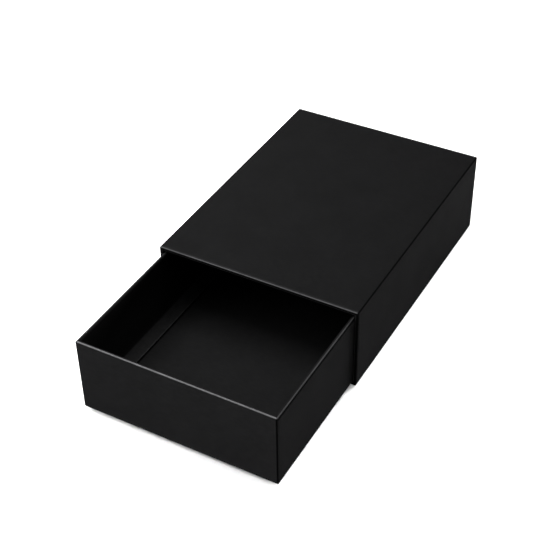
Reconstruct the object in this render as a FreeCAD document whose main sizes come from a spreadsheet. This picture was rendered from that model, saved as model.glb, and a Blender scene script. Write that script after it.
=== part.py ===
import FreeCAD, Part
import os
import Sketcher
from FreeCAD import Vector

# Sliding drawer gift box: a paper-covered board sleeve, open at both ends, with a
# paper-covered board drawer in it.
#
# Frame: millimetres, +X to the right when facing the drawer's front, +Y from the front
# to the back, +Z up. The origin is the middle of the sleeve's underside, on the surface
# that the box stands on. The drawer is modelled about the middle of its own underside
# and placed pulled out of the front mouth.

doc = FreeCAD.newDocument("gift_box")

# ---------------------------------------------------------------- driving dimensions
sheet = doc.addObject("Spreadsheet::Sheet", "dims")
ROWS = [
    # clear inside of the drawer
    ("tray_width", "140"),
    ("tray_length", "198"),
    ("tray_depth", "54"),
    # greyboard, covering paper, gummed tape
    ("board", "2"),
    ("paper", "0.15"),
    ("tape", "0.1"),
    # running room round the drawer
    ("side_room", "0.5"),
    ("under_room", "0.1"),
    ("head_room", "2.4"),
    ("end_room", "0.3"),
    # how far the drawer is pulled out
    ("pulled_out", "102.3"),
    # paper turned into the sleeve's mouths, and onto the drawer's floor
    ("mouth_turn_in", "15"),
    ("floor_turn_in", "6.5"),
    # each leg of a tape, and how far its ends stay back from the board's edge
    ("sleeve_tape_leg", "18"),
    ("stay_leg", "20"),
    ("tape_setback", "2"),
    # edge roundings, measured outside the paper
    ("long_edge_radius", "1"),
    ("mouth_edge_radius", "0.8"),
    ("tray_edge_radius", "0.8"),
    ("rim_edge_radius", "0.9"),
    ("inner_edge_radius", "0.4"),
]
for i, (name, value) in enumerate(ROWS, start=1):
    sheet.set("A%d" % i, name)
    sheet.set("B%d" % i, value)
    sheet.setAlias("B%d" % i, name)
doc.recompute()

# One wall is a board with a paper on each side.
WALL = "(dims.board + 2 * dims.paper)"
# Drawer, outside the paper.
DW = "(dims.tray_width + 2 * %s)" % WALL
DL = "(dims.tray_length + 2 * %s)" % WALL
DH = "(dims.tray_depth + %s)" % WALL
# Drawer, outside the boards.
BW = "(%s - 2 * dims.paper)" % DW
BL = "(%s - 2 * dims.paper)" % DL
BH = "(%s - 2 * dims.paper)" % DH
# Sleeve, clear inside, outside the paper, and outside the boards.
TW = "(%s + 2 * dims.side_room)" % DW
TH = "(%s + dims.under_room + dims.head_room)" % DH
SW = "(%s + 2 * %s)" % (TW, WALL)
SH = "(%s + 2 * %s)" % (TH, WALL)
SL = "(%s + 2 * dims.end_room)" % DL
PW = "(%s - 2 * dims.paper)" % SW
PH = "(%s - 2 * dims.paper)" % SH
PL = "(%s - 2 * dims.paper)" % SL


# ---------------------------------------------------------------- building blocks
def plane(body, role):
    for f in body.Origin.OriginFeatures:
        if f.Role == role:
            return f
    raise RuntimeError("no plane " + role)


def rectangle(sketch, width, height, low, tag):
    """A rectangle symmetric about the sketch's upright axis, its foot at height low:
    on the level axis where low is None, or with its middle at the origin."""
    n = sketch.GeometryCount
    p = [Vector(-10, 1, 0), Vector(10, 1, 0), Vector(10, 9, 0), Vector(-10, 9, 0)]
    for i in range(4):
        sketch.addGeometry(Part.LineSegment(p[i], p[(i + 1) % 4]), False)
    for i in range(4):
        sketch.addConstraint(Sketcher.Constraint("Coincident", n + i, 2, n + (i + 1) % 4, 1))
    for i in (0, 2) if low == "centred" else (2,):
        sketch.addConstraint(Sketcher.Constraint("Horizontal", n + i))
    for i in (1, 3):
        sketch.addConstraint(Sketcher.Constraint("Vertical", n + i))
    if low != "centred":
        sketch.addConstraint(Sketcher.Constraint("Symmetric", n, 1, n, 2, -2))
    w = sketch.addConstraint(Sketcher.Constraint("DistanceX", n, 1, n, 2, 20.0))
    sketch.renameConstraint(w, tag + "_width")
    sketch.setExpression("Constraints.%s_width" % tag, width)
    t = sketch.addConstraint(Sketcher.Constraint("DistanceY", n + 1, 1, n + 1, 2, 8.0))
    sketch.renameConstraint(t, tag + "_height")
    sketch.setExpression("Constraints.%s_height" % tag, height)
    if low is None:
        sketch.addConstraint(Sketcher.Constraint("PointOnObject", n, 1, -1))
    elif low == "centred":
        sketch.addConstraint(Sketcher.Constraint("Symmetric", n, 1, n + 1, 2, -1, 1))
    else:
        b = sketch.addConstraint(Sketcher.Constraint("DistanceY", -1, 1, n, 1, 1.0))
        sketch.renameConstraint(b, tag + "_low")
        sketch.setExpression("Constraints.%s_low" % tag, low)


def long_block(name, outer, length, inner=None):
    """A bar along Y with a rectangular section, or a tube where inner is given."""
    body = doc.addObject("PartDesign::Body", name)
    sk = body.newObject("Sketcher::SketchObject", name + "_section")
    sk.AttachmentSupport = [(plane(body, "XZ_Plane"), "")]
    sk.MapMode = "FlatFace"
    rectangle(sk, *outer, tag="outer")
    if inner:
        rectangle(sk, *inner, tag="inner")
    pad = body.newObject("PartDesign::Pad", name + "_pad")
    pad.Profile = sk
    pad.SideType = "Symmetric"
    pad.setExpression("Length", length)
    body.Tip = pad
    sk.Visibility = False
    doc.recompute()
    return body


def round_edges(body, tag, radius, wanted):
    """Round the edges of the body's last feature that the test picks."""
    base = body.Tip
    shape = base.Shape
    names = []
    for i, e in enumerate(shape.Edges, start=1):
        b = e.BoundBox
        if wanted(e, b):
            names.append("Edge%d" % i)
    if not names:
        raise RuntimeError("no edges for " + tag)
    before = shape.Volume
    fil = body.newObject("PartDesign::Fillet", body.Name + "_" + tag)
    fil.Base = (base, names)
    fil.setExpression("Radius", radius)
    body.Tip = fil
    doc.recompute()
    if not fil.Shape.Volume < before:
        raise RuntimeError("rounding added nothing at " + tag)
    return fil


def box(name, width, length, height, low, y="0", x="0"):
    """A box centred on (x, y), its foot at height low."""
    o = doc.addObject("Part::Box", name)
    o.setExpression("Length", width)
    o.setExpression("Width", length)
    o.setExpression("Height", height)
    o.setExpression("Placement.Base.x", "(%s) - (%s) / 2" % (x, width))
    o.setExpression("Placement.Base.y", "(%s) - (%s) / 2" % (y, length))
    o.setExpression("Placement.Base.z", low)
    return o


def cut(name, base, tool):
    o = doc.addObject("Part::Cut", name)
    o.Base, o.Tool = base, tool
    return o


def common(name, base, tool):
    o = doc.addObject("Part::Common", name)
    o.Base, o.Tool = base, tool
    return o


def fuse(name, shapes):
    o = doc.addObject("Part::MultiFuse", name)
    o.Shapes = shapes
    return o


def along_y(b):
    return b.YLength > 10 and b.XLength < 1e-3 and b.ZLength < 1e-3


EPS = 1e-3
probe = doc.addObject("App::FeaturePython", "probe")
doc.recompute()


def val(expression):
    """A length worked out from the sheet, for picking edges by place."""
    return float(probe.evalExpression(expression))


parts = {}

# ---------------------------------------------------------------- sleeve boards
# The four boards are cut from one rounded tube, so that they meet exactly.
blank = long_block("sleeve_blank",
                   (PW, PH, "dims.paper"), PL,
                   (TW + " + 2 * dims.paper", TH + " + 2 * dims.paper", "dims.paper + dims.board"))
pw, ph, pl, pap = val(PW), val(PH), val(PL), val("dims.paper")
lo, hi = pap, pap + ph
round_edges(blank, "long_edges", "dims.long_edge_radius - dims.paper",
            lambda e, b: along_y(b) and abs(abs(b.XMin) - pw / 2) < EPS)
wall = val("dims.board")


def at_end(b, half):
    return b.YLength < EPS and abs(abs(b.YMin) - half) < EPS


def inside_tube(b):
    return (max(abs(b.XMin), abs(b.XMax)) < pw / 2 - wall + EPS
            and b.ZMin > lo + wall - EPS and b.ZMax < hi - wall + EPS)


round_edges(blank, "end_edges", "dims.mouth_edge_radius - dims.paper",
            lambda e, b: at_end(b, pl / 2) and not inside_tube(b))
round_edges(blank, "mouth_edges", "dims.inner_edge_radius",
            lambda e, b: at_end(b, pl / 2) and inside_tube(b))

# Gummed tapes lie in the boards' outer skin along the four long corners.
core = long_block("sleeve_core",
                  (PW + " - 2 * dims.tape", PH + " - 2 * dims.tape", "dims.paper + dims.tape"), SL)
cw = pw - 2 * val("dims.tape")
round_edges(core, "long_edges", "dims.long_edge_radius - dims.paper - dims.tape",
            lambda e, b: along_y(b) and abs(abs(b.XMin) - cw / 2) < EPS)
skin = cut("sleeve_skin", blank, core)
tapes = []
for side, sx in (("left", -1), ("right", 1)):
    for level, foot in (("top", "dims.paper + %s - dims.sleeve_tape_leg" % PH), ("bottom", "dims.paper")):
        n = "sleeve_tape_%s_%s" % (level, side)
        zone = box(n + "_zone", "dims.sleeve_tape_leg", PL + " - 2 * dims.tape_setback",
                   "dims.sleeve_tape_leg", foot,
                   x="%d * (%s / 2 - dims.sleeve_tape_leg / 2)" % (sx, PW))
        t = common(n, skin, zone)
        parts[n] = t
        tapes.append(t)
sleeve_tapes = fuse("sleeve_tapes", tapes)
taped_blank = cut("sleeve_taped_blank", blank, sleeve_tapes)

upper = "dims.paper + %s - dims.board" % PH
parts["sleeve_top_board"] = common(
    "sleeve_top_board", taped_blank, box("sleeve_top_zone", PW, PL, "dims.board", upper))
parts["sleeve_bottom_board"] = common(
    "sleeve_bottom_board", taped_blank, box("sleeve_bottom_zone", PW, PL, "dims.board", "dims.paper"))
for side, sx in (("left", -1), ("right", 1)):
    zone = box("sleeve_%s_zone" % side, "dims.board", PL, PH + " - 2 * dims.board",
               "dims.paper + dims.board", x="%d * (%s / 2 - dims.board / 2)" % (sx, PW))
    parts["sleeve_%s_board" % side] = common("sleeve_%s_board" % side, taped_blank, zone)

# ---------------------------------------------------------------- sleeve papers
# The covering paper goes round the four outer faces, over the boards' ends and a little
# way into each mouth. The lining covers the inner faces between the two turn-ins.
cover = long_block("sleeve_cover", (SW, SH, None), SL)
sw, sh, sl = val(SW), val(SH), val(SL)
round_edges(cover, "long_edges", "dims.long_edge_radius",
            lambda e, b: along_y(b) and abs(abs(b.XMin) - sw / 2) < EPS)
round_edges(cover, "end_edges", "dims.mouth_edge_radius", lambda e, b: at_end(b, sl / 2))
tunnel = box("sleeve_tunnel", TW, SL + " + 10", TH, WALL)
lining_zone = box("sleeve_lining_zone", TW + " + 2 * dims.paper", SL + " - 2 * dims.mouth_turn_in",
                  TH + " + 2 * dims.paper", WALL + " - dims.paper")
shell = cut("sleeve_cover_shell", cover, blank)
open_shell = cut("sleeve_cover_open", shell, tunnel)
parts["sleeve_wrap"] = cut("sleeve_wrap", open_shell, lining_zone)
parts["sleeve_lining"] = cut("sleeve_lining", lining_zone, tunnel)

# ---------------------------------------------------------------- drawer boards
tray = long_block("drawer_blank", (BW, BH, "dims.paper"), BL)
bw, bl, bh = val(BW), val(BL), val(BH)
cav = tray.newObject("Sketcher::SketchObject", "drawer_blank_inside")
cav.AttachmentSupport = [(plane(tray, "XY_Plane"), "")]
cav.MapMode = "FlatFace"
cav.setExpression("AttachmentOffset.Base.z", "dims.paper + dims.board")
rectangle(cav, BW + " - 2 * dims.board", BL + " - 2 * dims.board", "centred", tag="inside")
solid_volume = tray.Shape.Volume
pocket = tray.newObject("PartDesign::Pocket", "drawer_blank_pocket")
pocket.Profile = cav
pocket.Type = "ThroughAll"
pocket.Reversed = True
tray.Tip = pocket
cav.Visibility = False
doc.recompute()
wanted = (bw - 2 * wall) * (bl - 2 * wall) * (bh - wall)
if abs(solid_volume - pocket.Shape.Volume - wanted) > 1:
    raise RuntimeError("the drawer's hollow is wrong")


def upright(b):
    return b.ZLength > 10 and b.XLength < EPS and b.YLength < EPS


round_edges(tray, "corner_edges", "dims.tray_edge_radius - dims.paper",
            lambda e, b: upright(b) and abs(abs(b.XMin) - bw / 2) < EPS)
round_edges(tray, "foot_edges", "dims.tray_edge_radius - dims.paper",
            lambda e, b: b.ZLength < EPS and abs(b.ZMin - pap) < EPS)


def inside_rim(b):
    return max(abs(b.XMin), abs(b.XMax)) < bw / 2 - wall + EPS and max(abs(b.YMin), abs(b.YMax)) < bl / 2 - wall + EPS


top = pap + bh
round_edges(tray, "rim_edges", "dims.rim_edge_radius - dims.paper",
            lambda e, b: b.ZLength < EPS and abs(b.ZMin - top) < EPS and not inside_rim(b))
round_edges(tray, "inner_rim_edges", "dims.inner_edge_radius",
            lambda e, b: b.ZLength < EPS and abs(b.ZMin - top) < EPS and inside_rim(b))

# Gummed stays lie in the boards' outer skin at the four upright corners.
tray_core = long_block("drawer_core", (BW + " - 2 * dims.tape", BH + " + 2", "dims.paper - 1"),
                       BL + " - 2 * dims.tape")
tcw = bw - 2 * val("dims.tape")
round_edges(tray_core, "corner_edges", "dims.tray_edge_radius - dims.paper - dims.tape",
            lambda e, b: upright(b) and abs(abs(b.XMin) - tcw / 2) < EPS)
tray_skin = cut("drawer_skin", tray, tray_core)
stays = []
for end, sy in (("front", -1), ("back", 1)):
    for side, sx in (("left", -1), ("right", 1)):
        n = "drawer_stay_%s_%s" % (end, side)
        zone = box(n + "_zone", "dims.stay_leg", "dims.stay_leg", BH + " - 2 * dims.tape_setback",
                   "dims.paper + dims.tape_setback",
                   x="%d * (%s / 2 - dims.stay_leg / 2)" % (sx, BW),
                   y="%d * (%s / 2 - dims.stay_leg / 2)" % (sy, BL))
        s = common(n + "_flat", tray_skin, zone)
        stays.append(s)
        parts[n] = s
drawer_stays = fuse("drawer_stays", stays)
taped_tray = cut("drawer_taped_blank", tray, drawer_stays)

inner_w = BW + " - 2 * dims.board"
inner_l = BL + " - 2 * dims.board"
parts["drawer_base_board"] = common(
    "drawer_base_board", taped_tray,
    box("drawer_base_zone", inner_w, inner_l, "dims.board", "dims.paper"))
for end, sy in (("front", -1), ("back", 1)):
    zone = box("drawer_%s_zone" % end, BW, "dims.board", BH, "dims.paper",
               y="%d * (%s / 2 - dims.board / 2)" % (sy, BL))
    parts["drawer_%s_board" % end] = common("drawer_%s_board" % end, taped_tray, zone)
for side, sx in (("left", -1), ("right", 1)):
    zone = box("drawer_%s_zone" % side, "dims.board", inner_l, BH, "dims.paper",
               x="%d * (%s / 2 - dims.board / 2)" % (sx, BW))
    parts["drawer_%s_board" % side] = common("drawer_%s_board" % side, taped_tray, zone)

# ---------------------------------------------------------------- drawer papers
# The covering paper runs under the base, up the walls, over the rim, down inside and a
# little way onto the floor, over the floor's own paper.
tray_cover = long_block("drawer_cover", (DW, DH, None), DL)
dw, dl, dh = val(DW), val(DL), val(DH)
round_edges(tray_cover, "corner_edges", "dims.tray_edge_radius",
            lambda e, b: upright(b) and abs(abs(b.XMin) - dw / 2) < EPS)
round_edges(tray_cover, "foot_edges", "dims.tray_edge_radius",
            lambda e, b: b.ZLength < EPS and abs(b.ZMin) < EPS)
round_edges(tray_cover, "rim_edges", "dims.rim_edge_radius",
            lambda e, b: b.ZLength < EPS and abs(b.ZMin - dh) < EPS)
floor_top = WALL
hollow = box("drawer_hollow", "dims.tray_width", "dims.tray_length", "dims.tray_depth + 5",
             floor_top + " + dims.paper")
liner_zone = box("drawer_floor_liner", inner_w, inner_l, "dims.paper", floor_top + " - dims.paper")
window = box("drawer_floor_window", "dims.tray_width - 2 * dims.floor_turn_in",
             "dims.tray_length - 2 * dims.floor_turn_in", "dims.paper", floor_top)
cover_shell = cut("drawer_cover_shell", tray_cover, tray)
cover_open = cut("drawer_cover_open", cover_shell, hollow)
cover_floor = cut("drawer_cover_floor", cover_open, liner_zone)
parts["drawer_wrap"] = cut("drawer_wrap", cover_floor, window)
parts["drawer_floor_liner"] = liner_zone
doc.recompute()

# ---------------------------------------------------------------- the drawer's place
# Each drawer piece is carried as a copy at the drawer's place in the sleeve.
placed = {}
for name in sorted(parts):
    src = parts[name]
    if not name.startswith("drawer_"):
        src.Label = name
        placed[name] = src
        continue
    src.Label = name + "_about_its_own_origin"
    o = doc.addObject("Part::Compound", name + "_placed")
    o.Links = [src]
    o.setExpression("Placement.Base.y", "-dims.pulled_out")
    o.setExpression("Placement.Base.z", WALL + " + dims.under_room")
    o.Label = name
    placed[name] = o
doc.recompute()

# ---------------------------------------------------------------- checks and files
for o in doc.Objects:
    if "Invalid" in o.State or "Error" in o.State:
        raise RuntimeError("%s failed: %s" % (o.Name, o.State))
shapes = {}
for name, o in sorted(placed.items()):
    s = o.Shape
    if s.isNull() or not s.isValid() or len(s.Solids) != 1:
        raise RuntimeError("%s is not one good solid" % name)
    shapes[name] = s

os.makedirs("parts", exist_ok=True)
for name, s in shapes.items():
    s.exportStep("parts/%s.step" % name)
    b = s.BoundBox
    print("%-28s %10.2f mm3  x %8.3f %8.3f  y %9.3f %9.3f  z %7.3f %7.3f" % (
        name, s.Volume, b.XMin, b.XMax, b.YMin, b.YMax, b.ZMin, b.ZMax))
print("pieces:", len(shapes))
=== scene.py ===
import math

import bmesh
import bpy
from mathutils import Matrix, Vector, noise


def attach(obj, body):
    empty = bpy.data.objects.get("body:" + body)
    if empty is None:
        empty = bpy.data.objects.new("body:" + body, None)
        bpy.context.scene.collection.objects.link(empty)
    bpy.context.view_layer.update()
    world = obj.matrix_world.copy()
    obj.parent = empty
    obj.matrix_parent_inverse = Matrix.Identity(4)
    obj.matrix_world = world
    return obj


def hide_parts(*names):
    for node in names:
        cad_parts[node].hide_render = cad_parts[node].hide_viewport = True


# Sliding drawer gift box: the papers that cover the boards are modelled here as thin closed
# sheets with their folds, laps, turned edges and creases. Lengths below are millimetres in
# the row frame, and meshes are made in metres. The drawer's own frame has its origin in the
# middle of its underside; DRAWER_Y and DRAWER_Z put it in its place.

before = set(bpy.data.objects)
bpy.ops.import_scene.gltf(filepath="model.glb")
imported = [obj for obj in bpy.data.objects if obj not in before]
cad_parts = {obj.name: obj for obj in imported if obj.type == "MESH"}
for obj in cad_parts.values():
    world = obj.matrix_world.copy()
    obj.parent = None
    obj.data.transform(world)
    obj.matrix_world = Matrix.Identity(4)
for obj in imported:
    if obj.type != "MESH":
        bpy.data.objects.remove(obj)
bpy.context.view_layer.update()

MM = 0.001
HALF_W, HALF_L, HALF_H = 75.1, 101.6, 31.7      # sleeve, outside
TRAY_W, TRAY_L, TRAY_H = 72.3, 101.3, 56.3      # drawer, outside: half, half, whole
DRAWER_Y, DRAWER_Z = -102.3, 2.4
WALL = 2.3
SHEET = 0.14                                    # paper, a hair under its 0.15 so faces don't meet
NC = 6                                          # steps round a corner
EDGE_R, MOUTH_R, LIP_R = 0.85, 0.7, 0.5         # sleeve: long edges, mouth outside and inside
POST_R, RIM_R = 0.65, 0.9                       # drawer: upright corners and foot, rim


def smooth(t):
    t = max(0.0, min(1.0, t))
    return t * t * (3.0 - 2.0 * t)


def wave(x, y, z, scale, seed):
    """Smooth noise from -1 to 1, the same on each run."""
    return noise.noise(Vector((x / scale + seed * 17.3, y / scale - seed * 9.1, z / scale + seed * 5.7)))


def stations(lo, hi, step, fine=()):
    """Even positions from lo to hi, with the fine ones added and near repeats left out."""
    n = max(1, round((hi - lo) / step))
    kept = [f for f in fine if lo + 0.02 < f < hi - 0.02]
    even = [lo + (hi - lo) * i / n for i in range(1, n)]
    return sorted([lo, hi] + kept + [x for x in even if all(abs(x - f) > step * 0.2 for f in kept)])


# ---------------------------------------------------------------- rounded loops
# A loop is a rounded rectangle in (a, b). Its points run along the low side, round the
# corners and along the other sides, always the same number in the same order, so that any
# two loops can be joined with quads.
class Loop:
    def __init__(self, half_a, half_b, radius, ua, ub):
        self.ref = (half_a - radius, half_b - radius)
        self.ua, self.ub = ua, ub
        self.tags = []
        for side, us in (("low", ua), ("right", ub), ("high", ua[::-1]), ("left", ub[::-1])):
            for u in us:
                self.tags.append((side, u, None))
            for i in range(1, NC):
                self.tags.append((side + "_corner", i / NC, i))
        self.count = len(self.tags)

    def points(self, ha, hb, r):
        """Each point as (a, b, outward a, outward b)."""
        ka, kb = (ha - r) / self.ref[0], (hb - r) / self.ref[1]
        turn = {"low_corner": (1, -1, -90), "right_corner": (1, 1, 0),
                "high_corner": (-1, 1, 90), "left_corner": (-1, -1, 180)}
        made = []
        for side, u, i in self.tags:
            if side == "low":
                made.append((u * ka, -hb, 0.0, -1.0))
            elif side == "high":
                made.append((u * ka, hb, 0.0, 1.0))
            elif side == "right":
                made.append((ha, u * kb, 1.0, 0.0))
            elif side == "left":
                made.append((-ha, u * kb, -1.0, 0.0))
            else:
                sa, sb, start = turn[side]
                g = math.radians(start + 90.0 * u)
                c, s = math.cos(g), math.sin(g)
                made.append((sa * (ha - r) + r * c, sb * (hb - r) + r * s, c, s))
        return made

    def corner_columns(self):
        """For each corner, its first and last column, both on the straight sides."""
        found = []
        for j, (side, u, i) in enumerate(self.tags):
            if i == 1:
                found.append((j - 1, (j + NC - 1) % self.count))
        return found


def object_from(name, verts, faces, masks, body, material):
    mesh = bpy.data.meshes.new(name)
    mesh.from_pydata([(x * MM, y * MM, z * MM) for x, y, z in verts], [], faces)
    for key, values in masks.items():
        layer = mesh.attributes.new(key, "FLOAT", "POINT")
        layer.data.foreach_set("value", values)
    bm = bmesh.new()
    bm.from_mesh(mesh)
    bmesh.ops.recalc_face_normals(bm, faces=bm.faces)
    bm.to_mesh(mesh)
    bm.free()
    mesh.shade_smooth()
    mesh.set_sharp_from_angle(angle=math.radians(38))
    mesh.materials.append(material)
    obj = bpy.data.objects.new(name, mesh)
    bpy.context.scene.collection.objects.link(obj)
    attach(obj, body)
    return obj


# ---------------------------------------------------------------- materials
def node(tree, kind, **sets):
    n = tree.nodes.new(kind)
    for key, value in sets.items():
        if key == "at":
            n.location = value
        elif key.startswith("in_"):
            n.inputs[key[3:].replace("_", " ")].default_value = value
        else:
            setattr(n, key, value)
    return n


def paper(name, tone, wear_highlight, rough, shine, grain, mottle, seed):
    """Black paper: fine fibre grain in the bump, soft mottling in colour and gloss; edges paler
    and smoother where the wear mask is (partly wear, partly painted highlight), and painted shade, darker and rougher,
    where the shade mask is."""
    mat = bpy.data.materials.new(name)
    mat.use_nodes = True
    t = mat.node_tree
    t.nodes.clear()
    out = node(t, "ShaderNodeOutputMaterial")
    bsdf = node(t, "ShaderNodeBsdfPrincipled")
    bsdf.inputs["IOR"].default_value = 1.5
    t.links.new(bsdf.outputs[0], out.inputs[0])
    co = node(t, "ShaderNodeTexCoord")
    shift = node(t, "ShaderNodeMapping")
    shift.inputs["Location"].default_value = (seed * 0.37, seed * 0.11, seed * 0.23)
    t.links.new(co.outputs["Object"], shift.inputs[0])

    def tex(scale, detail, roughness=0.5, stretch=None):
        n = node(t, "ShaderNodeTexNoise")
        n.inputs["Scale"].default_value = scale
        n.inputs["Detail"].default_value = detail
        n.inputs["Roughness"].default_value = roughness
        src = shift.outputs[0]
        if stretch:
            m = node(t, "ShaderNodeMapping")
            m.inputs["Scale"].default_value = stretch
            t.links.new(src, m.inputs[0])
            src = m.outputs[0]
        t.links.new(src, n.inputs["Vector"])
        return n.outputs["Fac"]

    def spread(value, lo, hi, out_lo, out_hi, smooth_step=True):
        n = node(t, "ShaderNodeMapRange")
        n.interpolation_type = "SMOOTHSTEP" if smooth_step else "LINEAR"
        for key, v in (("From Min", lo), ("From Max", hi), ("To Min", out_lo), ("To Max", out_hi)):
            n.inputs[key].default_value = v
        t.links.new(value, n.inputs["Value"])
        return n.outputs["Result"]

    def math_node(op, a, b=None, clamp=False):
        n = node(t, "ShaderNodeMath", operation=op, use_clamp=clamp)
        for i, v in enumerate((a, b)):
            if v is None:
                continue
            if isinstance(v, (int, float)):
                n.inputs[i].default_value = v
            else:
                t.links.new(v, n.inputs[i])
        return n.outputs[0]

    fibre_long = tex(900.0, 4.0, 0.6, (0.22, 1.0, 0.5))
    fibre_fine = tex(2600.0, 3.0, 0.6)
    tooth = tex(7000.0, 2.0, 0.5)
    cloud = tex(38.0, 3.0, 0.55)
    patch = tex(130.0, 2.0, 0.5)
    scuff = tex(420.0, 5.0, 0.7, (1.0, 0.35, 1.0))

    fold = node(t, "ShaderNodeAttribute", attribute_name="fold").outputs["Fac"]
    crease = node(t, "ShaderNodeAttribute", attribute_name="crease").outputs["Fac"]

    # how far the wear and painted highlight reach: uneven along the edge
    wear_highlight_at = math_node("MULTIPLY", fold, spread(scuff, 0.30, 0.72, 0.72, 1.0), clamp=True)

    shade = math_node("MULTIPLY", spread(cloud, 0.3, 0.7, 1.0 - mottle, 1.0 + mottle),
                      spread(fibre_long, 0.3, 0.7, 0.9, 1.1))
    shade = math_node("MULTIPLY", shade, spread(patch, 0.3, 0.7, 1.0 - 0.5 * mottle, 1.0 + 0.5 * mottle))
    colour = node(t, "ShaderNodeMix", data_type="RGBA")
    colour.inputs[6].default_value = (*tone, 1.0)
    colour.inputs[7].default_value = (*wear_highlight, 1.0)
    t.links.new(wear_highlight_at, colour.inputs[0])
    lit = node(t, "ShaderNodeVectorMath", operation="SCALE")
    t.links.new(colour.outputs[2], lit.inputs[0])
    # painted shade: the shade mask darkens the base colour
    dark = spread(crease, 0.0, 1.0, 1.0, 0.12, False)
    t.links.new(math_node("MULTIPLY", shade, dark), lit.inputs["Scale"])
    t.links.new(lit.outputs[0], bsdf.inputs["Base Color"])

    gloss = spread(cloud, 0.25, 0.75, rough + 0.015, rough - 0.015)
    gloss = math_node("ADD", gloss, spread(fibre_fine, 0.3, 0.7, -0.03, 0.03))
    gloss = math_node("SUBTRACT", gloss, math_node("MULTIPLY", wear_highlight_at, 0.06))
    gloss = math_node("ADD", gloss, math_node("MULTIPLY", crease, 0.3), clamp=True)
    t.links.new(gloss, bsdf.inputs["Roughness"])
    bsdf.inputs["Specular IOR Level"].default_value = shine

    height = math_node("ADD", math_node("MULTIPLY", fibre_long, 0.5), math_node("MULTIPLY", fibre_fine, 0.35))
    height = math_node("ADD", height, math_node("MULTIPLY", tooth, 0.15))
    bump = node(t, "ShaderNodeBump")
    bump.inputs["Strength"].default_value = grain
    bump.inputs["Distance"].default_value = 0.00006
    t.links.new(height, bump.inputs["Height"])
    t.links.new(bump.outputs[0], bsdf.inputs["Normal"])
    return mat


def board(name, tone, fleck, rough, scale, grain):
    """Raw board or kraft tape: pressed fibres, pale and dark flecks, a dry surface."""
    mat = bpy.data.materials.new(name)
    mat.use_nodes = True
    t = mat.node_tree
    bsdf = t.nodes["Principled BSDF"]
    bsdf.inputs["Specular IOR Level"].default_value = 0.25
    co = node(t, "ShaderNodeTexCoord")

    def tex(s, detail, stretch):
        m = node(t, "ShaderNodeMapping")
        m.inputs["Scale"].default_value = stretch
        t.links.new(co.outputs["Object"], m.inputs[0])
        n = node(t, "ShaderNodeTexNoise")
        n.inputs["Scale"].default_value = s
        n.inputs["Detail"].default_value = detail
        t.links.new(m.outputs[0], n.inputs["Vector"])
        return n.outputs["Fac"]

    fibres = tex(scale, 6.0, (1.0, 0.3, 1.0))
    flecks = tex(scale * 0.6, 2.0, (1.0, 1.0, 1.0))
    ramp = node(t, "ShaderNodeValToRGB")
    ramp.color_ramp.elements[0].position = 0.32
    ramp.color_ramp.elements[0].color = (*[c * 0.72 for c in tone], 1)
    ramp.color_ramp.elements[1].position = 0.68
    ramp.color_ramp.elements[1].color = (*[c * 1.2 for c in tone], 1)
    t.links.new(fibres, ramp.inputs[0])
    pick = node(t, "ShaderNodeMapRange")
    pick.inputs["From Min"].default_value = 0.66
    pick.inputs["From Max"].default_value = 0.72
    t.links.new(flecks, pick.inputs["Value"])
    mix = node(t, "ShaderNodeMix", data_type="RGBA")
    mix.inputs[7].default_value = (*fleck, 1)
    t.links.new(pick.outputs[0], mix.inputs[0])
    t.links.new(ramp.outputs[0], mix.inputs[6])
    t.links.new(mix.outputs[2], bsdf.inputs["Base Color"])
    r = node(t, "ShaderNodeMapRange")
    r.inputs["To Min"].default_value = rough - 0.06
    r.inputs["To Max"].default_value = rough + 0.06
    t.links.new(fibres, r.inputs["Value"])
    t.links.new(r.outputs[0], bsdf.inputs["Roughness"])
    bump = node(t, "ShaderNodeBump")
    bump.inputs["Strength"].default_value = grain
    bump.inputs["Distance"].default_value = 0.0001
    t.links.new(fibres, bump.inputs["Height"])
    t.links.new(bump.outputs[0], bsdf.inputs["Normal"])
    return mat


# the second colour is the paler edge: partly wear, partly a painted highlight
COVER = paper("covering_paper", (0.0040, 0.0040, 0.0041), (0.081, 0.081, 0.083), 0.55, 0.0012, 0.35, 0.05, 1)
LINING = paper("lining_paper", (0.0084, 0.0084, 0.0086), (0.028, 0.028, 0.029), 0.65, 0.002, 0.40, 0.05, 2)
GREY = board("greyboard", (0.30, 0.28, 0.25), (0.12, 0.11, 0.10), 0.85, 1400.0, 0.5)
KRAFT = board("gummed_tape", (0.38, 0.25, 0.13), (0.24, 0.15, 0.08), 0.62, 2200.0, 0.35)


# ---------------------------------------------------------------- sleeve, covering paper
def corner_radius(d, outer, least):
    return max(outer - d, least)


def sleeve_profile():
    """The paper's section at one mouth, from its cut edge inside to the outer face: (depth
    below the outer face, distance in from the mouth, kind)."""
    seen, hidden = [], []
    for inward, press in ((14.95, 0.05), (14.6, 0.012), (14.0, 0.0), (10.5, 0.0), (7.0, 0.0), (3.5, 0.0), (1.4, 0.0)):
        seen.append((WALL - press, inward, "in"))
    for k in range(5):
        g = math.radians(22.5 * k)
        seen.append((WALL - LIP_R + LIP_R * math.cos(g), LIP_R - LIP_R * math.sin(g), "lip"))
    for d in (1.5, 1.22, 0.95):
        seen.append((d, 0.0, "end"))
    for k in range(8):
        g = math.radians(90 * k / 7)
        seen.append((MOUTH_R - MOUTH_R * math.sin(g), MOUTH_R - MOUTH_R * math.cos(g), "round"))
    for k in range(8):
        g = math.radians(90 - 90 * k / 7)
        r = MOUTH_R - SHEET
        hidden.append((MOUTH_R - r * math.sin(g), MOUTH_R - r * math.cos(g), "back"))
    for k in range(5):
        g = math.radians(90 - 22.5 * k)
        r = LIP_R - SHEET
        hidden.append((WALL - LIP_R + r * math.cos(g), LIP_R - r * math.sin(g), "back"))
    for inward in (1.4, 7.0, 14.0, 14.95):
        hidden.append((WALL - SHEET, inward, "back"))
    return seen, hidden


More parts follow.
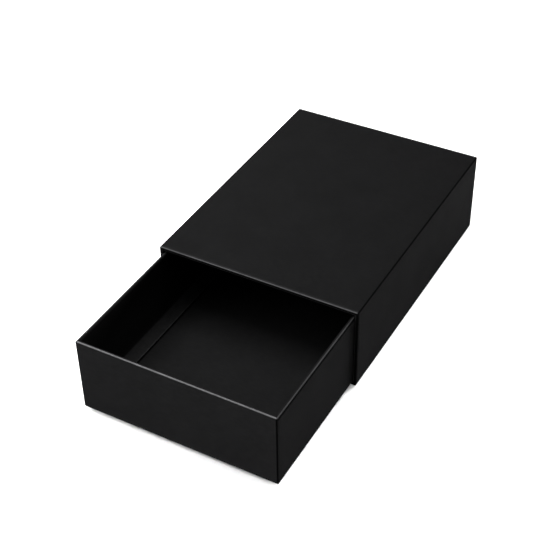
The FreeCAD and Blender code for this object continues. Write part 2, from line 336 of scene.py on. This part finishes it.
def make_sleeve_cover():
    seam_x = 58.0
    ua = stations(-(HALF_W - 1), HALF_W - 1, 6.0, (seam_x - 0.12, seam_x + 0.05, seam_x - 1.2))
    ub = stations(-(HALF_H - 1), HALF_H - 1, 6.0)
    loop = Loop(HALF_W, HALF_H, EDGE_R, ua, ub)
    seen, hidden = sleeve_profile()
    rows = []
    for d, inward, kind in seen:
        rows.append((d, -HALF_L + inward, kind, -1))
    ys = stations(-HALF_L + MOUTH_R, HALF_L - MOUTH_R, 6.0, (-HALF_L + 2.5, HALF_L - 2.5))
    for y in ys[1:-1]:
        rows.append((0.0, y, "out", 0))
    for d, inward, kind in reversed(seen):
        rows.append((d, HALF_L - inward, kind, 1))
    for d, inward, kind in reversed(hidden):
        rows.append((d, HALF_L - inward, kind, 1))
    for d, inward, kind in hidden:
        rows.append((d, -HALF_L + inward, kind, -1))
    verts, fold, crease = [], [], []
    for d, y, kind, end in rows:
        least = 0.3 if kind in ("end", "round") else 0.2
        r = corner_radius(d, EDGE_R, least)
        pts = loop.points(HALF_W - d, HALF_H - d, r)
        for (a, b, na, nb), (side, u, i) in zip(pts, loop.tags):
            x, z = a, b + HALF_H
            yy = y
            f = c = 0.0
            if kind in ("out", "round"):
                # paper lies a little unevenly on the board
                fade = smooth((HALF_L - abs(y)) / 6.0)
                if not i:
                    half = HALF_W if side in ("low", "high") else HALF_H
                    fade *= smooth((half - abs(u)) / 6.0)
                    dip = 0.008 * (1.0 + wave(x, y, z, 48.0, 3)) * fade
                    x -= na * dip
                    z -= nb * dip
                # the lap of the paper's two ends along the underside, its edge darkened with painted shade
                if side == "low" and not i and u < seam_x:
                    z += 0.085 * smooth((u + HALF_W - 1.0) / 5.0)
                    c = max(c, smooth(1.0 - abs(u - (seam_x - 0.12)) / 0.15))
            if kind == "round":
                # a painted highlight where the mouth's top edge turns, on its upper half; the other
                # edges of the mouth get painted shade
                turn = math.degrees(math.atan2(MOUTH_R - d, MOUTH_R - (HALF_L - abs(y))))
                f = 0.60 * smooth((turn - 28.0) / 22.0) * smooth((98.0 - turn) / 30.0)
                c = 0.9 * (1.0 - smooth((turn - 6.0) / 30.0))
                if side != "high":
                    f = 0.0
                    c = 1.0 - 0.45 * smooth((turn - 30.0) / 60.0)
            # painted shade on the mouth's end faces
            if kind == "end":
                c = 1.0
            if kind in ("end", "round", "lip", "in") and i and side.endswith("corner"):
                # mitred folds of the turned-in paper at the mouth's corners, sunk a little, with painted shade in them
                mid = 1.0 - abs(i - NC / 2) / (NC / 2)
                sink = 0.07 * smooth(mid * 1.6)
                if kind == "round":
                    sink *= smooth((d - 0.3) / 0.4)
                if kind in ("end", "round"):
                    yy -= end * sink
                    c = smooth(mid * 1.4) * (1.0 if kind == "end" else smooth((d - 0.3) / 0.4))
                elif kind == "lip":
                    c = smooth(mid * 1.4)
            if kind == "in" and (HALF_L - abs(y)) > 14.7:
                # painted shade along the turn-in near its cut edge
                c = 0.9
                # the cut edge wanders a little
                yy += -end * 0.12 * wave(x, y, z, 9.0, 6)
            if kind == "back" and (HALF_L - abs(y)) > 14.7:
                yy += -end * 0.12 * wave(x, y, z, 9.0, 6)
            # painted shade along the long edges, which are folded tight over the board, and less of the painted
            # highlight there
            if kind in ("out", "round") and i:
                mid = 1.0 - abs(i - NC / 2) / (NC / 2)
                c = max(c, 0.9 * smooth(0.45 + mid))
                f *= 0.3
            verts.append((x, yy, z))
            fold.append(f)
            crease.append(c)
    n, m = loop.count, len(rows)
    faces = []
    for k in range(m):
        for j in range(n):
            j2, k2 = (j + 1) % n, (k + 1) % m
            faces.append((k * n + j, k * n + j2, k2 * n + j2, k2 * n + j))
    obj = object_from("sleeve_cover_paper", verts, faces, {"fold": fold, "crease": crease},
                      "sleeve", COVER)
    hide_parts("sleeve_wrap")
    return obj


def make_sleeve_lining():
    """The paper on the sleeve's four inner faces, between the two turn-ins."""
    ua = stations(-(HALF_W - WALL - 0.2), HALF_W - WALL - 0.2, 12.0)
    ub = stations(-(HALF_H - WALL - 0.2), HALF_H - WALL - 0.2, 10.0)
    loop = Loop(HALF_W - WALL, HALF_H - WALL, 0.2, ua, ub)
    reach = 86.55
    rows = [(WALL - 0.03, -reach, "lip"), (WALL, -reach + 0.06, "in")]
    rows += [(WALL, y, "in") for y in stations(-reach + 0.8, reach - 0.8, 9.0)]
    rows += [(WALL, reach - 0.06, "in"), (WALL - 0.03, reach, "lip")]
    rows += [(WALL - SHEET, reach, "back"), (WALL - SHEET, -reach, "back")]
    verts, fold, crease = [], [], []
    for d, y, kind in rows:
        for (a, b, na, nb), (side, u, i) in zip(loop.points(HALF_W - d, HALF_H - d, 0.2), loop.tags):
            dip = 0.0
            if kind == "in" and not i:
                half = (HALF_W if side in ("low", "high") else HALF_H) - WALL
                dip = 0.02 * (1 + wave(a, y, b, 28.0, 4)) * smooth((half - abs(u)) / 5.0) * smooth((reach - abs(y)) / 5.0)
            verts.append((a + na * dip, y, b + nb * dip + HALF_H))
            fold.append(0.0)
            # painted shade along the lining's turned ends
            crease.append(0.8 if kind == "lip" else 0.0)
    n, m = loop.count, len(rows)
    faces = []
    for k in range(m):
        for j in range(n):
            j2, k2 = (j + 1) % n, (k + 1) % m
            faces.append((k * n + j, k * n + j2, k2 * n + j2, k2 * n + j))
    obj = object_from("sleeve_inner_paper", verts, faces, {"fold": fold, "crease": crease},
                      "sleeve", LINING)
    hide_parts("sleeve_lining")
    return obj


# ---------------------------------------------------------------- drawer, covering paper
def bezier(p0, p1, p2, p3, t):
    s = 1.0 - t
    w = (s * s * s, 3 * s * s * t, 3 * s * t * t, t * t * t)
    return tuple(sum(wi * p[k] for wi, p in zip(w, (p0, p1, p2, p3))) for k in (0, 1))


# The paper comes down the wall, leaves it above the floor and reaches the floor's paper as
# a sprung flange: out from the wall, and above the floor paper.
FLANGE = ((0.0, 7.1), (1.55, 4.6), (4.3, 2.25), (7.3, 1.45))


def flange_points(count):
    found = []
    for k in range(count + 1):
        t = k / count
        p = bezier(*FLANGE, t)
        q = bezier(*FLANGE, min(1.0, t + 0.01))
        o = bezier(*FLANGE, max(0.0, t - 0.01))
        tx, tz = q[0] - o[0], q[1] - o[1]
        n = math.hypot(tx, tz)
        found.append((t, p, (-tz / n, tx / n)))
    return found


def make_drawer_cover():
    fl = TRAY_W - POST_R
    lap = fl - 0.30
    fine = []
    for s in (-1, 1):
        fine += [s * lap, s * (lap + 0.04), s * (lap - 0.35), s * 59.6, s * 58.9, s * 58.2, s * 57.5]
    ua = stations(-fl, fl, 5.5, fine)
    ub = stations(-(TRAY_L - POST_R), TRAY_L - POST_R, 5.5)
    loop = Loop(TRAY_W, TRAY_L, POST_R, ua, ub)
    rows = []           # depth in from the outside, height, kind, place along the flange
    # underside, from the middle outwards
    for d in (70.0, 52.0, 34.0, 18.0, 8.0, 3.0):
        rows.append((d, 0.0, "base", 0))
    for k in range(6):
        g = math.radians(90 * k / 5)
        rows.append((POST_R - POST_R * math.sin(g), POST_R - POST_R * math.cos(g), "foot", 0))
    for z in stations(POST_R, TRAY_H - RIM_R, 5.0, (2.6, TRAY_H - 2.6, TRAY_H - 1.7))[1:-1]:
        rows.append((0.0, z, "wall", 0))
    for k in range(9):
        g = math.radians(90 * k / 8)
        rows.append((RIM_R - RIM_R * math.cos(g), TRAY_H - RIM_R + RIM_R * math.sin(g), "rim", 0))
    for d in (1.15, 1.4, 1.6):
        rows.append((d, TRAY_H, "rim", 0))
    for k in range(6):
        g = math.radians(90 * k / 5)
        rows.append((WALL - LIP_R + LIP_R * math.sin(g), TRAY_H - LIP_R + LIP_R * math.cos(g), "lip", 0))
    top_in, low_in = TRAY_H - LIP_R, WALL + FLANGE[0][1]
    for z in reversed(stations(low_in, top_in, 5.0, (top_in - 1.4,))[1:-1]):
        rows.append((WALL, z, "in", 0))
    pts = flange_points(9)
    first = len(rows)
    for t, (s, h), (nx, nz) in pts:
        rows.append((WALL + s, WALL + h, "flange", t))
    last = len(rows) - 1
    under = len(rows)
    for t, (s, h), (nx, nz) in reversed(pts):
        rows.append((WALL + s - nx * SHEET, WALL + h - nz * SHEET, "flange_back", t))
    under_end = len(rows) - 1
    for z in (low_in + 4.0, top_in - 4.0, top_in):
        rows.append((WALL - SHEET, z, "back", 0))
    for k in range(5, -1, -1):
        g = math.radians(90 * k / 5)
        r = LIP_R - SHEET
        rows.append((WALL - LIP_R + r * math.sin(g), TRAY_H - LIP_R + r * math.cos(g), "back", 0))
    for k in range(8, -1, -1):
        g = math.radians(90 * k / 8)
        r = RIM_R - SHEET
        rows.append((RIM_R - r * math.cos(g), TRAY_H - RIM_R + r * math.sin(g), "back", 0))
    rows.append((SHEET, 30.0, "back", 0))
    for k in range(5, -1, -1):
        g = math.radians(90 * k / 5)
        r = POST_R - SHEET
        rows.append((POST_R - r * math.sin(g), POST_R - r * math.cos(g), "back", 0))
    for d in (3.0, 70.0):
        rows.append((d, SHEET, "back", 0))

    verts, fold, crease = [], [], []
    for d, z, kind, t in rows:
        r = corner_radius(d, POST_R, 0.25)
        turn = math.degrees(math.atan2(z - (TRAY_H - RIM_R), RIM_R - d)) if kind == "rim" and d < RIM_R else 90.0
        for (a, b, na, nb), (side, u, i) in zip(loop.points(TRAY_W - d, TRAY_L - d, r), loop.tags):
            x, y, zz = a, b, z
            f = c = 0.0
            if kind in ("wall", "rim", "foot"):
                over = 1.0
                if kind == "rim":
                    over = 1.0 - smooth(d / RIM_R)
                if kind == "foot":
                    over = smooth((z - 0.1) / (POST_R - 0.1))
                # The side papers turn the corner under the end papers. The end papers stop
                # just short of the corner, and show the side papers' tabs as a soft ridge. Their cut edges and the
                # corners get painted shade.
                if side in ("low", "high") and not i:
                    step = 0.12 if abs(u) > lap + 0.02 else 0.06 * smooth((59.7 - abs(u)) / 2.2)
                    y -= nb * step * over
                    if abs(u) > lap - 0.03:
                        c = max(c, 1.0 * over if abs(u) > lap + 0.02 else 0.5 * over)
                elif i:
                    # share of the corner that faces the drawer's end
                    face = abs(nb)
                    x -= na * 0.12 * smooth(face) * over
                    y -= nb * 0.12 * smooth(face) * over
                    c = max(c, smooth((face - 0.1) / 0.45) * over)
            if kind == "wall" and not i:
                half = TRAY_W if side in ("low", "high") else TRAY_L
                fade = smooth((half - abs(u)) / 6.0) * smooth(z / 6.0) * smooth((TRAY_H - z) / 6.0)
                dip = 0.009 * (1 + wave(x, y, z, 44.0, 7)) * fade
                x -= na * dip
                y -= nb * dip
            # a painted highlight along the rim's middle, partly wear too, stronger on the ends than on the sides,
            # and painted shade on the sides' paper just outside it
            if kind == "rim":
                if side in ("low", "high") and not i:
                    f = smooth((turn - 36.0) / 30.0) * (1.0 - smooth((d - 1.0) / 0.45))
                else:
                    f = 0.28 * smooth((turn - 38.0) / 30.0) * (1.0 - smooth((d - 0.85) / 0.45))
                    if not i:
                        c = max(c, 0.9 * (1.0 - smooth((turn - 18.0) / 30.0)))
            # painted shade on the side walls just under the rim
            if kind == "wall" and side in ("left", "right"):
                c = max(c, 0.9 * smooth((z - (TRAY_H - 2.6)) / 1.4))
            # mitred folds at the rim's corners, sunk a little, with painted shade in them
            if kind in ("rim", "lip") and i:
                mid = 1.0 - abs(i - NC / 2) / (NC / 2)
                on = smooth((d - 0.25) / 0.4) if kind == "rim" else 1.0
                zz -= 0.07 * smooth(mid * 1.6) * on
                c = max(c, smooth(mid * 1.4) * on)
            # a faint painted highlight along the foot
            if kind == "foot" and i is None:
                f = 0.03
            # painted shade on the inner side walls, darker towards the top
            if kind == "in" and side in ("left", "right"):
                c = max(c, 0.6 * smooth((z - 26.0) / 22.0))
            if kind == "in" and not i:
                half = (TRAY_W if side in ("low", "high") else TRAY_L) - WALL
                fade = smooth((half - abs(u)) / 5.0) * smooth((TRAY_H - z) / 6.0) * smooth((z - low_in) / 5.0)
                dip = 0.03 * wave(x, y, z, 26.0, 8) * fade
                x += na * dip
                y += nb * dip
            if kind in ("flange", "flange_back"):
                # the sprung edge rises and falls a little along its length, and its cut wanders
                cut = 0.14 * wave(x, y, 0.0, 11.0, 12) * smooth((t - 0.8) / 0.2)
                zz += 0.30 * wave(x, y, 0.0, 42.0, 11) * t * t
                if side in ("left", "right"):
                    x += na * cut
                elif not i:
                    y += nb * cut
                # painted light on the flange: paler across it with a painted highlight at its free edge, and painted
                # shade on its underside
                if kind == "flange":
                    f = 0.13 * smooth(t / 0.08) + 0.17 * smooth((t - 0.93) / 0.07)
                else:
                    c = 1.0
            verts.append((x, y + DRAWER_Y, zz + DRAWER_Z))
            fold.append(f)
            crease.append(c)

    n, m = loop.count, len(rows)
    corners = loop.corner_columns()
    cut_columns = set()
    for j0, j1 in corners:
        j = j0
        while j != j1:
            cut_columns.add(j)
            j = (j + 1) % n
    faces = []
    for k in range(m - 1):
        inside = (first <= k < last) or (k == last) or (under <= k < under_end)
        for j in range(n):
            if inside and j in cut_columns:
                continue
            j2 = (j + 1) % n
            faces.append((k * n + j, k * n + j2, (k + 1) * n + j2, (k + 1) * n + j))
    # the slits' own edges, where the flanges are cut apart at the corners
    for j0, j1 in corners:
        for q in range(first, last):
            mate, mate2 = under_end - (q - first), under_end - (q + 1 - first)
            faces.append((q * n + j0, (q + 1) * n + j0, mate2 * n + j0, mate * n + j0))
            faces.append((q * n + j1, mate * n + j1, mate2 * n + j1, (q + 1) * n + j1))
        j = j0
        while j != j1:
            j2 = (j + 1) % n
            faces.append((first * n + j, first * n + j2, under_end * n + j2, under_end * n + j))
            j = j2
    faces.append(tuple(range(n)))
    faces.append(tuple(reversed(range((m - 1) * n, m * n))))
    used = sorted({v for f in faces for v in f})
    new = {v: i for i, v in enumerate(used)}
    faces = [tuple(new[v] for v in f) for f in faces]
    verts = [verts[v] for v in used]
    fold = [fold[v] for v in used]
    crease = [crease[v] for v in used]
    obj = object_from("drawer_cover_paper", verts, faces, {"fold": fold, "crease": crease},
                      "drawer", COVER)
    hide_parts("drawer_wrap")
    return obj


def make_floor_paper():
    """The paper on the drawer's floor, under the sprung flanges."""
    edge_x, edge_y = (half - WALL - FLANGE[3][0] for half in (TRAY_W, TRAY_L))
    near = (-1.1, -0.5, 0.0, 0.5)
    xs = stations(-70.1, 70.1, 5.0, [s * (edge_x + n) for s in (-1, 1) for n in near])
    ys = stations(-99.1, 99.1, 5.0, [s * (edge_y + n) for s in (-1, 1) for n in near])
    verts, crease = [], []
    for level in (0, 1):
        for y in ys:
            for x in xs:
                if level:
                    z = WALL - 0.02 + 0.02 * wave(x, y, 0, 38.0, 15)
                else:
                    z = WALL - SHEET
                verts.append((x, y + DRAWER_Y, z + DRAWER_Z))
                # painted shade under the sprung flanges and just in front of them
                under = max(abs(x) - edge_x, abs(y) - edge_y)
                crease.append(smooth((under + 1.1) / 1.3))
    nx, ny = len(xs), len(ys)
    faces = []

    def at(level, i, j):
        return level * nx * ny + j * nx + i

    for j in range(ny - 1):
        for i in range(nx - 1):
            faces.append((at(1, i, j), at(1, i + 1, j), at(1, i + 1, j + 1), at(1, i, j + 1)))
            faces.append((at(0, i, j), at(0, i, j + 1), at(0, i + 1, j + 1), at(0, i + 1, j)))
    for i in range(nx - 1):
        faces.append((at(0, i, 0), at(0, i + 1, 0), at(1, i + 1, 0), at(1, i, 0)))
        faces.append((at(0, i, ny - 1), at(1, i, ny - 1), at(1, i + 1, ny - 1), at(0, i + 1, ny - 1)))
    for j in range(ny - 1):
        faces.append((at(0, 0, j), at(1, 0, j), at(1, 0, j + 1), at(0, 0, j + 1)))
        faces.append((at(0, nx - 1, j), at(0, nx - 1, j + 1), at(1, nx - 1, j + 1), at(1, nx - 1, j)))
    obj = object_from("drawer_floor_paper", verts, faces, {"fold": [0.0] * len(verts), "crease": crease},
                      "drawer", LINING)
    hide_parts("drawer_floor_liner")
    return obj


make_sleeve_cover()
make_sleeve_lining()
make_drawer_cover()
make_floor_paper()

# boards and tapes keep their CAD shapes and take their own finishes
for name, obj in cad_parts.items():
    if obj.hide_render:
        continue
    mat = KRAFT if ("tape" in name or "stay" in name) else GREY
    obj.data.materials.clear()
    obj.data.materials.append(mat)

# ---------------------------------------------------------------- floor, lights, camera
floor = bpy.data.meshes.new("studio_floor")
floor.from_pydata([(-6, -6, 0), (6, -6, 0), (6, 6, 0), (-6, 6, 0)], [], [(0, 1, 2, 3)])
floor_obj = bpy.data.objects.new("studio_floor", floor)
bpy.context.scene.collection.objects.link(floor_obj)
fm = bpy.data.materials.new("studio_floor")
fm.use_nodes = True
ft = fm.node_tree
fb = ft.nodes["Principled BSDF"]
fb.inputs["Base Color"].default_value = (0.97, 0.97, 0.97, 1)
fb.inputs["Roughness"].default_value = 0.9
fb.inputs["Specular IOR Level"].default_value = 0.1
floor.materials.append(fm)

world = bpy.data.worlds.new("studio")
bpy.context.scene.world = world
world.use_nodes = True
wt = world.node_tree
wt.nodes["Background"].inputs["Color"].default_value = (1, 1, 1, 1)
wt.nodes["Background"].inputs["Strength"].default_value = 0.1
# a white backdrop where the camera sees past the floor, and softer light from it
white = wt.nodes.new("ShaderNodeBackground")
seen = wt.nodes.new("ShaderNodeLightPath")
either = wt.nodes.new("ShaderNodeMixShader")
white.inputs["Color"].default_value = (1, 1, 1, 1)
wt.links.new(seen.outputs["Is Camera Ray"], either.inputs[0])
wt.links.new(wt.nodes["Background"].outputs[0], either.inputs[1])
wt.links.new(white.outputs[0], either.inputs[2])
wt.links.new(either.outputs[0], wt.nodes["World Output"].inputs[0])


def softbox(name, direction, distance, size, power, aim=(0.0, -0.05, 0.03)):
    data = bpy.data.lights.new(name, "AREA")
    data.shape = "RECTANGLE"
    data.size, data.size_y = size
    data.energy = power
    obj = bpy.data.objects.new(name, data)
    d = Vector(direction).normalized()
    obj.location = Vector(aim) + d * distance
    obj.rotation_mode = "QUATERNION"
    obj.rotation_quaternion = (-d).to_track_quat("-Z", "Y")
    obj.visible_camera = False
    bpy.context.scene.collection.objects.link(obj)
    return obj


def distant(name, direction, spread, strength, mirrored=True):
    """A light from far off. The low ones aren't mirrored: they would glare along the top."""
    data = bpy.data.lights.new(name, "SUN")
    data.angle = math.radians(spread)
    data.energy = strength
    obj = bpy.data.objects.new(name, data)
    obj.rotation_mode = "QUATERNION"
    obj.rotation_quaternion = (-Vector(direction).normalized()).to_track_quat("-Z", "Y")
    obj.visible_glossy = mirrored
    bpy.context.scene.collection.objects.link(obj)
    return obj


def direction(azimuth, elevation):
    """From the box outwards: azimuth 0 is the front, 90 the right."""
    a, e = math.radians(azimuth), math.radians(elevation)
    return (math.sin(a) * math.cos(e), -math.cos(a) * math.cos(e), math.sin(e))


softbox("left_high", direction(-90, 72), 0.5, (0.25, 0.25), 2.6, (0.0, -0.13, 0.03))
softbox("left_front", direction(-60, 45), 0.5, (0.38, 0.38), 1.5, (0.0, -0.1, 0.03))
distant("overhead", direction(0, 88), 60, 0.4)
distant("back_high", direction(150, 50), 60, 1.2)
distant("right_high", direction(90, 60), 60, 0.5)
distant("back_left", direction(-140, 20), 20, 4.6)
distant("front_low", direction(-3, 4), 20, 8.3, False)
distant("right_back", direction(165, 4), 26, 20.0, False)
distant("right_low", direction(110, 5), 20, 0.4, False)
distant("left_low", direction(-90, 6), 20, 3.8, False)

camera = bpy.data.cameras.new("camera")
camera.sensor_width = 36.0
camera.lens = 36.0 * 1236.46 / 550.0
camera.clip_start, camera.clip_end = 0.01, 50.0
cam = bpy.data.objects.new("camera", camera)
bpy.context.scene.collection.objects.link(cam)
azimuth, elevation, roll = (math.radians(v) for v in (29.4404, 38.8477, -0.9782))
back = Vector((math.sin(azimuth) * math.cos(elevation), -math.cos(azimuth) * math.cos(elevation), math.sin(elevation)))
right = (-back).cross(Vector((0, 0, 1))).normalized()
up = right.cross(-back)
right2 = math.cos(roll) * right + math.sin(roll) * up
up2 = -math.sin(roll) * right + math.cos(roll) * up
turn = Matrix((right2, up2, back)).transposed().to_4x4()
cam.matrix_world = Matrix.Translation(Vector((0.32138, -0.64466, 0.57464))) @ turn
bpy.context.scene.camera = cam

bpy.context.scene.view_settings.view_transform = "Standard"
bpy.context.scene.view_settings.look = "None"

bpy.context.view_layer.update()
